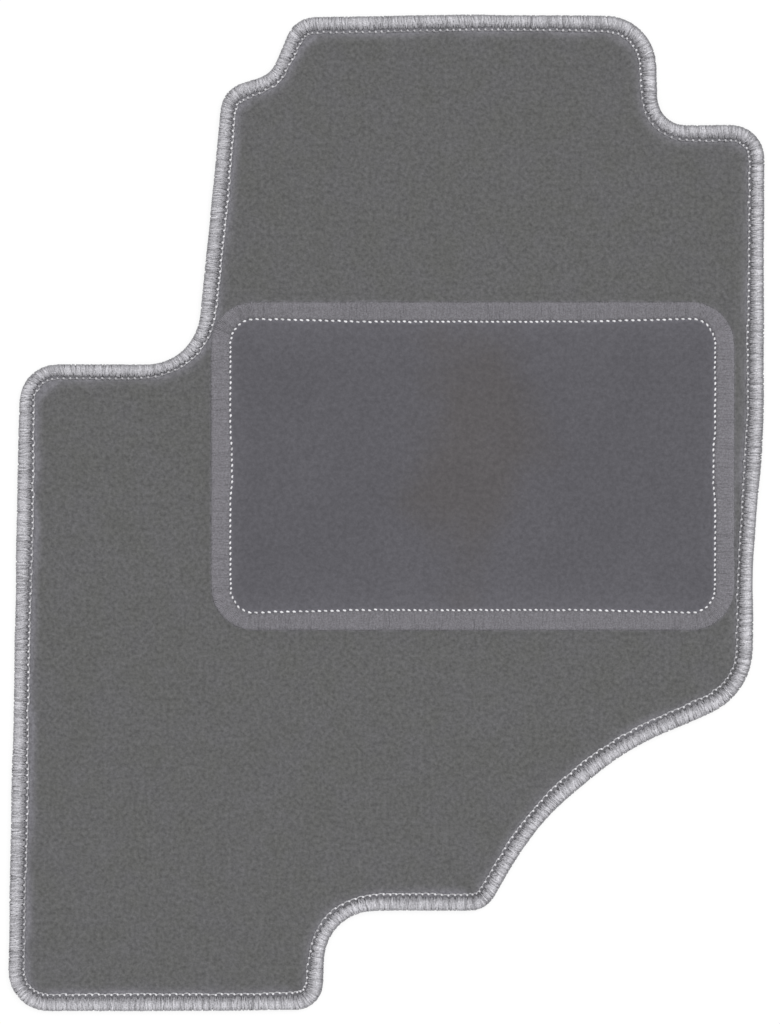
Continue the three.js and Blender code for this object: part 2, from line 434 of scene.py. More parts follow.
def field(outline, spacing, start, random):
    """Lattice points that lie further inside an outline than start."""
    points = lattice(outline.line.min(0), outline.line.max(0), spacing, random)
    return points[outline.insets(points) > start]


def triangles_inside(border, inner):
    """Triangles that fill a border, anticlockwise, and pass through the inner points."""
    points = [Vector(p) for p in np.concatenate([border, inner])]
    count = len(border)
    edges = [(i, (i + 1) % count) for i in range(count)]
    _, _, faces, origins, _, _ = delaunay_2d_cdt(points, edges, [], 1, 1e-9)
    source = np.array([origin[0] for origin in origins])
    return source[np.array(faces)]


def closed_sheet(outline, columns, rows, inner, height, flat_side):
    """A sheet whose first side has a height of its own and whose other side is flat.
    rows are insets: the outer part follows them, and inner points fill the rest. The
    result is its points, its faces and each point's inset."""
    margin = outline.grid(columns, rows)
    shaped = np.concatenate([margin.reshape(-1, 2), inner])
    insets = np.concatenate([np.repeat(rows, len(columns)), outline.insets(inner)])
    heights = height(shaped, insets)
    index = np.arange(margin[..., 0].size).reshape(margin.shape[:2])
    ahead = np.roll(index, -1, axis=1)
    quads = np.stack([index[:-1], ahead[:-1], ahead[1:], index[1:]], axis=-1).reshape(-1, 4)
    filling = triangles_inside(margin[-1], inner) + index[-1, 0]

    first, random = len(shaped), np.random.default_rng(1)
    spacing, clearance = mm(12, 5)
    coarse = lattice(margin[0].min(0), margin[0].max(0), spacing, random)
    coarse = coarse[outline.insets(coarse) > rows[0] + clearance]
    back = triangles_inside(margin[0], coarse)[:, ::-1] + first
    lower = np.arange(first, first + len(columns))
    wall = np.stack([lower, np.roll(lower, -1), ahead[0], index[0]], axis=-1)

    flat = np.concatenate([shaped, margin[0], coarse])
    z = np.concatenate([heights, np.full(len(flat) - first, flat_side)])
    faces = [np.concatenate([quads, wall]), np.concatenate([filling, back])]
    if flat_side > heights.mean():
        faces = [group[:, ::-1] for group in faces]
    all_insets = np.concatenate([insets, np.zeros(len(flat) - first)])
    return np.column_stack([flat, z]), faces, all_insets


# ---- Materials ----

def colour(red, green, blue):
    """A linear colour from 8-bit levels."""
    return (*(((level / 255 + 0.055) / 1.055) ** 2.4 for level in (red, green, blue)), 1)


class Surface:
    """A node material. Each method adds a node and returns its result's socket."""

    def __init__(self, name, roughness, sheen=0.0, specular=0.3):
        self.material = bpy.data.materials.new(name)
        self.material.use_nodes = True
        self.tree = self.material.node_tree
        self.shader = self.tree.nodes["Principled BSDF"]
        self.shader.inputs["Roughness"].default_value = roughness
        self.shader.inputs["Specular IOR Level"].default_value = specular
        self.shader.inputs["Sheen Weight"].default_value = sheen
        self.shader.inputs["Sheen Roughness"].default_value = 0.5

    def node(self, kind, inputs, **settings):
        """All the sockets that a new node gives."""
        made = self.tree.nodes.new("ShaderNode" + kind)
        for key, value in settings.items():
            setattr(made, key, value)
        for key, value in inputs.items():
            if isinstance(value, bpy.types.NodeSocket):
                self.tree.links.new(value, made.inputs[key])
            else:
                made.inputs[key].default_value = value
        return made.outputs

    def position(self):
        return self.node("TexCoord", {})["Object"]

    def attribute(self, name, output="Fac"):
        return self.node("Attribute", {}, attribute_name=name)[output]

    def scaled(self, vector, x, y, z):
        return self.node("VectorMath", {0: vector, 1: (x, y, z)}, operation="MULTIPLY")[0]

    def noise(self, vector, size, detail=2.0, roughness=0.5):
        """Smooth noise from 0 to 1 with features of about this size."""
        inputs = {"Vector": vector, "Scale": 1 / size}
        inputs.update(Detail=detail, Roughness=roughness)
        return self.node("TexNoise", inputs)["Fac"]

    def ranged(self, value, from_low, from_high, to_low=0.0, to_high=1.0):
        inputs = {0: value, 1: from_low, 2: from_high, 3: to_low, 4: to_high}
        return self.node("MapRange", inputs)[0]

    def math(self, operation, first, second):
        return self.node("Math", {0: first, 1: second}, operation=operation)[0]

    def mixed(self, amount, first, second, **settings):
        """Colours: first where amount is 0, second where it is 1."""
        inputs = {0: amount, 6: first, 7: second}
        return self.node("Mix", inputs, data_type="RGBA", **settings)[2]

    def dimmed(self, tone, factor):
        """A colour times a factor."""
        return self.mixed(1.0, tone, factor, blend_type="MULTIPLY")

    def bump(self, height, distance, **below):
        """A normal. Where it adds to another one, that is given as Normal."""
        return self.node("Bump", {"Height": height, "Distance": distance, **below})["Normal"]

    def finish(self, tone, normal):
        self.tree.links.new(tone, self.shader.inputs["Base Color"])
        self.tree.links.new(normal, self.shader.inputs["Normal"])
        return self.material


def velour():
    """Grey pile, painted lighter where it leans from brushing and catches the light, partly
    its lean and partly painted sheen, and darkened by its painted shadow.
    """
    s = Surface("grey velour", roughness=0.95, sheen=0.15, specular=0.1)
    place = s.position()
    tufts = s.noise(place, 2.4 * MM, detail=1.5, roughness=0.6)
    fibres = s.noise(place, 0.9 * MM, detail=1.0)
    patches = s.noise(place, 22 * MM, detail=3.0, roughness=0.65)
    plain, purplish = colour(94.2, 94.2, 93.6), colour(93.8, 93.5, 94.8)
    tone = s.mixed(s.ranged(patches, 0.35, 0.65), plain, purplish)
    tone = s.dimmed(tone, s.ranged(patches, 0.35, 0.65, 0.972, 1.028))
    # lighter where the pile leans: partly its lean, partly painted sheen
    tone = s.mixed(s.attribute("brushed"), tone, colour(121, 120, 125))
    tone = s.dimmed(tone, s.ranged(tufts, 0.25, 0.75, 0.77, 1.24))
    tone = s.dimmed(tone, s.ranged(fibres, 0.2, 0.8, 0.88, 1.11))
    tone = s.dimmed(tone, s.attribute("shadow"))
    normal = s.bump(fibres, 0.25 * MM)
    normal = s.bump(tufts, 0.45 * MM, Normal=normal)
    return s.finish(tone, normal)


def nap():
    """Short pile, finished by brushing, slightly warmer where heels have rubbed its middle.
    """
    s = Surface("short nap", roughness=0.9, sheen=0.12, specular=0.15)
    place = s.position()
    fibres = s.noise(place, 1.0 * MM, detail=1.5)
    grain = s.noise(place, 2.6 * MM, detail=1.0)
    patches = s.noise(place, 60 * MM, detail=3.0)
    middle = (*pad.line.mean(0), 0)
    from_middle = s.node("VectorMath", {0: place, 1: middle}, operation="SUBTRACT")[0]
    half_width, half_length = 0.05, 0.1  # of the rubbed part
    parts_away = s.scaled(from_middle, 1 / half_width, 1 / half_length, 0)
    away = s.node("VectorMath", {0: parts_away}, operation="LENGTH")[1]
    away = s.math("ADD", away, s.ranged(patches, 0.3, 0.7, -0.4, 0.4))
    rubbed, plain = colour(87, 84.5, 86), colour(87.5, 86.5, 91.5)
    tone = s.mixed(s.ranged(away, 0.4, 1.1), rubbed, plain)
    tone = s.dimmed(tone, s.ranged(patches, 0.3, 0.7, 0.96, 1.04))
    tone = s.dimmed(tone, s.ranged(grain, 0.25, 0.75, 0.88, 1.12))
    tone = s.dimmed(tone, s.ranged(fibres, 0.2, 0.8, 0.9, 1.1))
    tone = s.dimmed(tone, s.ranged(s.attribute("raised"), 0, 1, 1, 1.4))
    normal = s.bump(fibres, 0.12 * MM)
    normal = s.bump(grain, 0.12 * MM, Normal=normal)
    return s.finish(tone, normal)


def spun(
    name, light, dark, twist, streak,
    run=8.0, contrast=0.16, fluff=0.0, roughness=0.7,
):
    """Spun yarn or thread, from dark to light (8-bit levels) by its shade, which holds its
    own tone together with any painted light and shade. Its fibres, streak wide and run times
    as long, lie along it, at a slant where it has a twist. contrast is how much their
    brightness varies, and fluff how much it does in spots."""
    s = Surface(name, roughness=roughness, sheen=0.15, specular=0.3)
    along, around, shade = s.node("SeparateXYZ", {0: s.attribute("thread", "Vector")})
    twisted = s.math("ADD", around, s.math("MULTIPLY", along, twist))
    drawn_out = s.math("DIVIDE", along, run)
    apart = s.math("MULTIPLY", shade, 0.37)  # so that neighbours' fibres differ
    grain = s.node("CombineXYZ", {0: drawn_out, 1: twisted, 2: apart})[0]
    fibres = s.noise(grain, streak, detail=2.0, roughness=0.6)
    spots = s.noise(s.position(), 0.9 * MM, detail=1.0)
    tone = s.mixed(shade, colour(*dark), colour(*light))
    tone = s.dimmed(tone, s.ranged(fibres, 0.25, 0.75, 1 - contrast, 1 + contrast))
    tone = s.dimmed(tone, s.ranged(spots, 0.25, 0.75, 1 - fluff, 1 + fluff))
    normal = s.bump(fibres, 0.12 * MM)
    return s.finish(tone, normal)


def latex():
    s = Surface("anti-slip latex", roughness=0.8, specular=0.3)
    place = s.position()
    crumbs = s.noise(place, 2.2 * MM, detail=3.0, roughness=0.65)
    stains = s.noise(place, 35 * MM, detail=2.0)
    tone = s.mixed(s.ranged(stains, 0.35, 0.65), colour(33, 33, 33), colour(40, 40, 42))
    tone = s.dimmed(tone, s.ranged(crumbs, 0.3, 0.7, 0.8, 1.25))
    return s.finish(tone, s.bump(crumbs, 0.35 * MM))


def woven(name, level):
    """Plain weave: two sets of flat threads, each over and under the other, painted darker
    where they dip under and lighter where they rise over, as painted shade.
    """
    s = Surface(name, roughness=0.85, specular=0.2)
    turns = pi / (0.9 * MM)  # half a turn from one thread to the next
    x, y, _ = s.node("SeparateXYZ", {0: s.scaled(s.position(), turns, turns, 0)})
    warp, weft = (s.node("Math", {0: side}, operation="SINE")[0] for side in (x, y))
    over = s.math("MULTIPLY", warp, weft)
    # painted shade: the dipping threads darker, the rising ones lighter
    under_tone, over_tone = (colour(*[level * share] * 3) for share in (0.8, 1.1))
    tone = s.mixed(s.ranged(over, -1, 1), under_tone, over_tone)
    return s.finish(tone, s.bump(over, 0.15 * MM))


# ---- The carpet ----

def fine_columns(starts, length):
    """Each stretch from one start to the next, cut into COLUMNS_PER_STITCH."""
    lengths = following(starts, length) - starts
    parts = np.arange(COLUMNS_PER_STITCH) / COLUMNS_PER_STITCH
    return (starts[:, None] + lengths[:, None] * parts).ravel()


def at_holes(rows, columns, insets, hole_inset):
    """Which points of a sheet with fine columns are the stitches' holes."""
    count = len(rows) * len(columns)
    first_column = np.zeros(len(insets), bool)
    first_column[:count] = np.arange(count) % len(columns) % COLUMNS_PER_STITCH == 0
    return first_column & (np.abs(insets - hole_inset) < 0.1 * MM)


def waves(points, size, random, count=10):
    """Slow rises and falls of about this size over a surface."""
    total = np.zeros(len(points))
    for _ in range(count):
        wavelength = random.uniform(9, 45) * MM
        heading = random.uniform(0, pi)
        across = points[:, 0] * cos(heading) + points[:, 1] * sin(heading)
        total += np.sin(2 * pi * (across / wavelength + random.uniform()))
    return total * size / sqrt(count / 2)


def carpet():
    """The velour pile: squeezed under the edge's yarn, free in the middle, and pressed
    flat under the heel pad."""
    random = np.random.default_rng(11)
    spacing, hidden_spacing = mm(1.9, 9)
    rim, top = low("edge_needle_thread") - 0.35 * MM, high("carpet_pile")
    seat = high("heel_pad_backing") - 1.7 * MM
    hole_row = 10.9 * MM
    rows = [mat.inset, *mm(5, 7.6, 8.5, 9.3, 10.1), hole_row, *mm(11.6, 12.4, 13.2)]
    columns = fine_columns(stitch_starts, mat.length)
    seen = field(mat, spacing, rows[-1] + 0.7 * spacing, random)
    seen = seen[pad.insets(seen) < 4 * MM]
    inner = np.concatenate([seen, field(pad, hidden_spacing, 8 * MM, random)])

    def height(at, insets):
        pad_insets = pad.insets(at)
        under_pad = ramp(0.5, 2.5, pad_insets)
        z = rim + (top - rim) * ramp(10.4, 17.5, insets)
        z += 0.5 * MM * ramp(-3.5, -0.5, pad_insets)  # heaped against the pad
        z = z - (z - seat) * under_pad
        free = ramp(9.5, 14, insets) * (1 - under_pad)
        grain = random.normal(0, 0.09 * MM, len(z)) + waves(at, 0.1 * MM, random)
        z += np.clip(grain, -0.3 * MM, 0.3 * MM) * (0.25 + 0.75 * free)
        z[at_holes(rows, columns, insets, hole_row)] -= 0.3 * MM
        return z

    bottom = low("carpet_pile")
    points, faces, insets = closed_sheet(mat, columns, rows, inner, height, bottom)
    brushed, shadow = pile_marks(points[:, :2], insets, random)
    pile = piece(
        "velour_pile", points, faces, velour(), "velour", ["carpet_pile"],
        brushed=brushed, shadow=shadow,
    )
    size, area = mat.size(), mat.area()


def pile_marks(points, insets, random):
    """How fully the pile catches the light, and how much light the yarn's painted shadow
    leaves.
    The first is partly the pile's lean from brushing along the edge, more at the front
    corners and less at the rear ones, and partly painted sheen. It is painted lighter on the
    left than on the right, in the stitches' row and all round the heel pad, as painted
    light."""
    nearest = mat.nearest(points)
    to_right, to_front = mat.inward[nearest].T
    at_front, at_rear = np.clip(-to_front, 0, 1), np.clip(to_front, 0, 1)
    # on the right and the front, where the yarn's inner slope faces away from the lamp
    away = np.clip(-to_right - to_front, 0, 1)

    uneven = blurred(random.normal(0, 1, len(mat.line)), 9 * MM / mat.STEP)
    # painted light by side: lighter on the left than on the right
    margin = np.clip(0.65 + 0.45 * to_right, 0.5, 1.1)
    margin *= (1 + 0.3 * uneven / uneven.std())[nearest]
    rounded = between(12, 30, mat.bend(5 * MM))[nearest]  # at the outer corners
    margin *= 1 + rounded * (0.5 * at_front - 0.6 * at_rear)
    end, width = 18.6 * MM + 2 * MM * rounded * at_front, 6.4 * MM
    brushed = np.clip((end - insets) / width, 0, 1) ** 1.7 * margin
    in_row = ramp(8, 9.5, insets) * (1 - ramp(11.5, 13, insets))
    # painted light in the stitches' row, more on the sides away from the lamp
    brushed += (0.22 + 0.08 * away) * in_row
    # painted light all round the heel pad, lifting the shade at its foot
    brushed += 0.7 * ramp(-1.1, 0, pad.insets(points))

    deepest = 0.76 + 0.22 * away
    shadow = deepest + (1 - deepest) * ramp(7.5, 10, insets)
    return brushed, shadow


def anti_slip_coat():
    """The underside: crumbs of latex, and a groove for the heel pad's bobbin thread."""
    random = np.random.default_rng(12)
    rim = low("carpet_primary_backing") - 0.7 * MM
    start = 11 * MM  # the coat's edge; outside it the sheet is hidden under the yarn
    rows = [mat.inset, 10.4 * MM, start, 12 * MM]
    inner = field(mat, 3.2 * MM, 14 * MM, random)

    def height(at, insets):
        from_seam = np.abs(pad.insets(at) - SEAM_INSET)
        z = np.clip(random.normal(0.18, 0.12, len(at)), 0, 0.45) * MM
        z += 0.75 * MM * (1 - ramp(0.4, 2.2, from_seam))
        return np.where(insets < start, rim, z)

    columns, node = mat.walk(EDGE_WALK, 3 * MM), "anti_slip_backing"
    points, faces, _ = closed_sheet(mat, columns, rows, inner, height, high(node))
    piece("anti_slip_coat", points, faces, latex(), "anti_slip_latex", [node])


# ---- The edge's yarn ----

def strand_path(reach, crest, bottom, top, hole, tuck, radius):
    """Insets and heights of a strand's centre, from the needle's hole over the edge and
    back under it. hole is its start, tuck its end, and reach how far in its rise goes."""
    middle, half = (top + bottom) / 2, (top - bottom) / 2 - radius
    rise = np.linspace(0, 1, 7)[:-1]
    shoulder = (crest + (reach - crest) * 0.45, top - radius)
    bends = zip(hole, shoulder, (crest, top - radius))
    inset, height = (
        (1 - rise) ** 2 * start + 2 * rise * (1 - rise) * bend + rise**2 * end
        for start, bend, end in bends
    )
    turn = np.linspace(0, pi, 8)
    inset = np.concatenate([inset, crest - (crest - radius) * np.sin(turn), tuck[0]])
    height = np.concatenate([height, middle + half * np.cos(turn), tuck[1]])
    return inset, height


def per_wrap(random, mean, deviation):
    return random.normal(mean, deviation, (len(wrap_strands), 1, 1))


def per_strand(random, mean, deviation):
    return random.normal(mean, deviation, (*wrap_strands.shape, 1))


def edge_yarn():
    """Wraps of soft yarn. The strands of a wrap lie side by side over the edge and draw
    together towards its stitch, with a notch left between one wrap and the next, painted
    dark as shade on the strands' ends and on the core."""
    random = np.random.default_rng(21)
    bottom, top = low(EDGE_YARN), high(EDGE_YARN)
    radius, reach = mm(0.42, 8.6)
    hole = (STITCH_INSET - 0.7 * MM, STITCH_GROUND)
    tuck = ([6.5 * MM, LOOPER_INSET], [radius, 0.9 * MM])
    inset, height = strand_path(reach, EDGE_CREST, bottom, top, hole, tuck, radius)
    on_top = np.arange(len(inset)) < inset.argmin()
    gathered = np.where(on_top, between(hole[0] - 0.3 * MM, 5.4 * MM, inset), 1)
    place, moved, raised = strand_lines(random, inset, height, hole[0], on_top, gathered)
    raised = np.clip(raised, radius * 0.9, None)
    centres, across = with_height(mat.place(place, moved), raised), mat.sideways(place)

    growth = mat.stretch(place, moved) / mat.stretch(place, EDGE_WALK)
    growth = growth * mat.read(edge_feed, place)
    width = WRAP_PITCH / WRAP_STRANDS * 0.8 * growth * (0.6 + 0.4 * gathered)
    width = width * per_strand(random, 1, 0.13).reshape(-1, 1)
    thick = radius * per_strand(random, 1, 0.1).reshape(-1, 1) * np.ones(place.shape)
    for size in (width, thick):
        size[:, 0] *= 0.6
    shade = strand_shades(random, place, inset, on_top)

    material = spun(
        "light grey yarn", (215, 214, 219), (116, 115, 119), 0.25, 0.25 * MM,
        run=3.0, contrast=0.18, fluff=0.32,
    )
    facing = side_of(mat.normal(place[:, 0]))
    for number, side in enumerate(("rear", "right", "front", "left")):
        chosen = facing == number
        made = tubes(*(rows[chosen] for rows in (centres, across, width, thick, shade)))
        thread_piece("edge_yarn_" + side, made, material, "edge_yarn", EDGE_YARN)


def strand_lines(random, inset, height, hole, on_top, gathered):
    """Where the strands run, one row for each strand: how far along the outline, the
    inset and the height. gathered is 0 where a wrap's strands meet and 1 where they lie
    side by side."""
    wraps = len(wrap_strands)
    journey = np.linspace(0, 1, len(inset))
    normal = mat.normal(wrap_middles)[:, None, None]

    away = np.clip(-normal.sum(-1), -0.3, 1)
    tight = np.clip(per_wrap(random, 0.7, 0.13) + 0.1 * away, 0.35, 0.98)
    spread = tight + (1 - tight) * gathered
    outer = np.where(on_top, between(hole, 0, inset), 1)
    slant = drift(random, wraps, 3)[:, None, None] * 0.6 * MM
    slant = slant + per_wrap(random, 0, 0.15 * MM) + per_strand(random, 0, 0.35 * MM)
    phase = random.uniform(0, 2 * pi, (3, *wrap_strands.shape, 1))
    wiggle = np.sin(journey * 9 + phase[0]) + 0.7 * np.sin(journey * 19 + phase[1])
    offset = (wrap_strands - wrap_strands.mean(1, keepdims=True))[..., None]
    place = wrap_middles[:, None, None] + offset * spread + slant * outer
    place = place + 0.26 * MM * wiggle

    order = np.linspace(-1, 1, WRAP_STRANDS)[:, None]
    crowned = 0.3 * MM * (1 - order**2) * (1 - 0.75 * gathered)
    lift = 0.08 * MM * np.sin(journey * 14 + phase[2]) + per_strand(random, 0, 0.06 * MM)
    upward = np.sign(height - middle_height(EDGE_YARN))
    raised = height + crowned * (upward > 0) - 0.15 * MM * upward + lift * upward

    outwards = 1 - between(0, EDGE_CREST, inset)
    bulge = drift(random, wraps, 3)[:, None, None] * 0.2 * MM * outwards
    moved = inset - bulge - np.where(inset < EDGE_CREST, lift * 0.7, 0)
    moved = moved + per_wrap(random, 0, 0.3 * MM) * (1 - gathered)
    moved = moved - 0.25 * MM * np.clip(normal[..., 1], 0, 1) * outwards
    return (
        np.broadcast_to(rows, place.shape).reshape(-1, len(inset))
        for rows in (place, moved, raised)
    )


def strand_shades(random, place, inset, on_top):
    """The strands' brightness on their way, painted light and shade: lightest on the crest,
    painted dark at the rim, near the stitches and underneath. The right and the front are
    painted differently, as their inner slopes face away from the lamp, and so is the rear.
    Each strand's own tone also varies at random, and a few strands are duller."""
    normal = mat.normal(place[:, 0])
    away_x, away_y = np.clip(-normal, 0, 1).T[..., None]
    rear = np.clip(normal[:, 1:], 0, 1)
    # painted light along a strand: dark at the rim, lightest on the crest, dark near the
    # stitches and underneath
    lit_insets = mm(0.5, 1.3, 2.6, 5.7, 7.4, 9.2)
    lit_levels = [0.24, 0.58, 1, 0.93, 0.37, 0.36]
    uneven = inset + mat.read(mat.wander, place) * mat.follows(inset)
    uneven = uneven + per_strand(random, 0, 0.45 * MM).reshape(-1, 1)
    lit = np.where(on_top, np.interp(uneven, lit_insets, lit_levels), 0.3)

    inner_slope = ramp(3.2, 5.5, inset) * on_top
    outer_slope = 1 - ramp(1.3, 3, inset)
    crown = ramp(1.6, 3, inset) * (1 - ramp(3.6, 5.5, inset))
    foot = ramp(6.5, 7.8, inset) * on_top
    # painted light and shade by side, for where the lamp stands
    lit = lit * (1 + (0.16 * away_x + 0.02 * away_y) * inner_slope)
    lit = lit * (1 - (0.85 * away_x + 0.32 * away_y - 0.25 * rear) * outer_slope)
    lit = lit * (1 + (0.2 * away_x + 0.06 * away_y + 0.09 * rear) * crown)
    lit += 0.14 * np.clip(away_x + away_y, 0, 1) * foot

    shade = per_strand(random, 0.585, 0.12).reshape(-1, 1)
    dull = random.uniform(size=shade.shape) < 0.07
    shade = shade * np.where(dull, 0.55, 1)
    return np.clip(shade, 0, 1) * lit


def side_of(inward):
    """0 at the rear, 1 on the right, 2 at the front and 3 on the left."""
    angle = np.arctan2(-inward[:, 1], -inward[:, 0])
    return np.round((angle + pi / 2) / (pi / 2)).astype(int) % 4


def edge_core():
    """The lowest layer of yarn, which shows between the strands and between the wraps. Its
    colours are darker than the strands', as painted shade beneath them, and it is painted
    darker still at the rim, towards the stitches and underneath.
    """
    bottom, top = low(EDGE_YARN) + 0.55 * MM, high(EDGE_YARN) - 0.65 * MM
    middle, half = (top + bottom) / 2, EDGE_CREST - 0.7 * MM
    outside = [
        (EDGE_CREST + half * cos(turn), middle + (top - middle) * sin(turn))
        for turn in np.linspace(pi / 2, 3 * pi / 2, 9)
    ]
    section = [(8 * MM, STITCH_GROUND + 0.1 * MM), (6.2 * MM, top - 0.5 * MM), *outside]
    section.append((8.6 * MM, bottom + 0.2 * MM))
    columns = mat.walk(EDGE_WALK, 2.6 * MM)
    points, faces = ring(mat, columns, section)
    insets = np.repeat([inset for inset, _ in section], len(columns))
    # painted light and shade: dark at the rim, lightest past the crest, a little darker
    # towards the stitches, and the dark colour underneath
    lit = np.interp(insets, mm(1.2, 2.6, 5.5, 7.5), [0.2, 1, 0.9, 0.75])
    lit[points[:, 2] < middle] = 0
    thread = np.column_stack([points[:, 0] + points[:, 1], points[:, 2], lit])
    light, dark = (170, 169, 173), (106, 105, 109)
    material = spun("shaded yarn", light, dark, 0.0, 0.3 * MM, fluff=0.2)
    made = points, faces, thread
    thread_piece("edge_yarn_core", made, material, "edge_yarn", EDGE_YARN)


# ---- The edge's threads ----

def stitch_row(outline, starts, path, shade, half_size, twists, steps=12):
    """One short thread from each needle hole to the next. path gives, for the journey
    from 0 to 1, the part of the way, the inset, the height and the thread's fullness,
    and shade its brightness. half_size is its half width and height in millimetres."""
    random = np.random.default_rng(len(starts))
    lengths = following(starts, outline.length) - starts
    journey = np.linspace(0, 1, steps)
    part, inset, height, fullness = path(journey, len(starts), random)
    place = starts[:, None] + lengths[:, None] * part
    flat = outline.place(place, np.broadcast_to(inset, place.shape))
    centres, across = with_height(flat, height), with_height(outline.normal(place), 0)
    wide, tall = (half * fullness * np.ones(place.shape) for half in mm(*half_size))
    start_turn = random.uniform(0, pi, (len(starts), 1, 1))

    def two_ply(angle):
        turned = 2 * (angle - 2 * pi * twists * journey[:, None]) + start_turn
        return 1 + 0.14 * np.cos(turned)

    shades = shade(journey, len(starts), random)
    return tubes(centres, across, wide, tall, shades, sides=8, swell=two_ply)


def edge_stitches():
    """The needle thread. Each stitch leaves the last one's bead, bows inwards over the
    pile, and ends in a bright bead on the next wrap."""
    x, y = mat.normal(stitch_starts).T[..., None]

    def bead(journey):
        return np.exp(-(((journey - 0.9) / 0.13) ** 2))

    def path(journey, count, random):
        part = journey * 1.06 + random.normal(0, 0.03, (count, 1))
        bow = random.normal(0.95, 0.15, (count, 1)) * np.sin(pi * journey) ** 0.8
        strays = 0.12 * drift(random, count, 12)[:, None]
        strays = strays + random.normal(0, 0.18, (count, 1))
        outer = -0.06 - 0.3 * x + 0.15 * y + 0.46 * y**2 + strays
        raised = 0.12 + 0.25 * journey + random.normal(0.6, 0.1, (count, 1)) * bead(journey)
        inset = STITCH_INSET + (outer + bow) * MM
        return part, inset, STITCH_GROUND + raised * MM, 0.5 + 0.5 * bead(journey)

    def shade(journey, count, random):
        whole = random.normal(0.87, 0.1, (count, 1))
        whole = np.clip(whole + 0.15 * drift(random, count, 8)[:, None], 0.4, 1)
        # painted light and shade: the thread darker where it lies low in the pile before its
        # bead, darker on the right and the front, away from the lamp, most at the inner
        # corners, and its bead brighter or darker from side to side with how the light falls
        away = np.clip(-x - y, 0, 1)
        shaded_corner = mat.read(inner_corners(mat), stitch_starts)[:, None]
        whole = whole * (1 - 0.35 * away * shaded_corner)
        start = (0.2 + 0.04 * y + 0.06 * y**2) * (1 - 0.8 * away)
        bow = start + (0.19 - 0.15 * away) * np.sin(pi * journey) ** 4
        brightest = 0.71 + 0.04 * x + 0.1 * y - 0.22 * y**2 + 0.13 * away
        return whole * np.clip(bow + brightest * bead(journey), 0, 1)

    made = stitch_row(mat, stitch_starts, path, shade, (0.82, 0.56), twists=0.9, steps=16)
    light, dark = (240, 239, 242), (128, 127, 131)
    material = spun("white thread", light, dark, 1.2, 0.16 * MM, roughness=0.55)
    thread_piece("edge_stitches", made, material, "white_thread", "edge_needle_thread")


def looper_thread():
    """The chain of thread along the yarn's inner border on the underside."""
    ground = middle_height("edge_looper_thread")

    def path(journey, count, random):
        arc = np.sin(pi * journey)
        inset = LOOPER_INSET + 0.35 * MM * np.sin(2 * pi * journey)
        return -0.05 + 1.1 * journey, inset, ground + 0.1 * MM * arc, 0.6 + 0.4 * arc

    def shade(journey, count, random):
        return random.uniform(0.3, 0.8, (count, 1))

    made = stitch_row(mat, stitch_starts, path, shade, (0.6, 0.4), twists=0.8, steps=8)
    material = spun("looper yarn", (170, 169, 173), (130, 129, 133), 0.8, 0.2 * MM)
    thread_piece("edge_looper_chain", made, material, "edge_yarn", "edge_looper_thread")


# ---- The heel pad ----

def heel_panel():
    """The pad's face, which rises inside its seam and is a little lighter near it."""
    random = np.random.default_rng(31)
    top = high("heel_pad_face")
    rim = top - 0.3 * MM
    rows = [pad.inset, *mm(8, 11.2, 11.8, 12.3, 12.8, 13.3, 13.9, 14.7)]
    columns = fine_columns(seam_holes, pad.length)
    spacing = 1.5 * MM
    inner = field(pad, spacing, rows[-1] + 0.7 * spacing, random)

    def height(at, insets):
        z = rim + (top - rim) * ramp(12.4, 13.9, insets)
        grain = random.normal(0, 0.03 * MM, len(z)) + waves(at, 0.05 * MM, random)
        z += np.clip(grain, -0.12 * MM, 0.12 * MM)
        z[at_holes(rows, columns, insets, SEAM_INSET)] -= 0.2 * MM
        return z

    bottom = low("heel_pad_face")
    points, faces, insets = closed_sheet(pad, columns, rows, inner, height, bottom)
    front_or_rear = pad.inward[pad.nearest(points[:, :2]), 1] ** 2
    raised = 0.7 * (1 - ramp(12.9, 14.6, insets))
    raised += 0.2 * (1 - ramp(12, 26, insets))
    raised += 0.17 * front_or_rear * (1 - ramp(16, 50, insets))
    panel = piece(
        "heel_panel", points, faces, nap(), "heel_nap", ["heel_pad_face"], raised=raised,
    )
    size, area = pad.size(), pad.area()


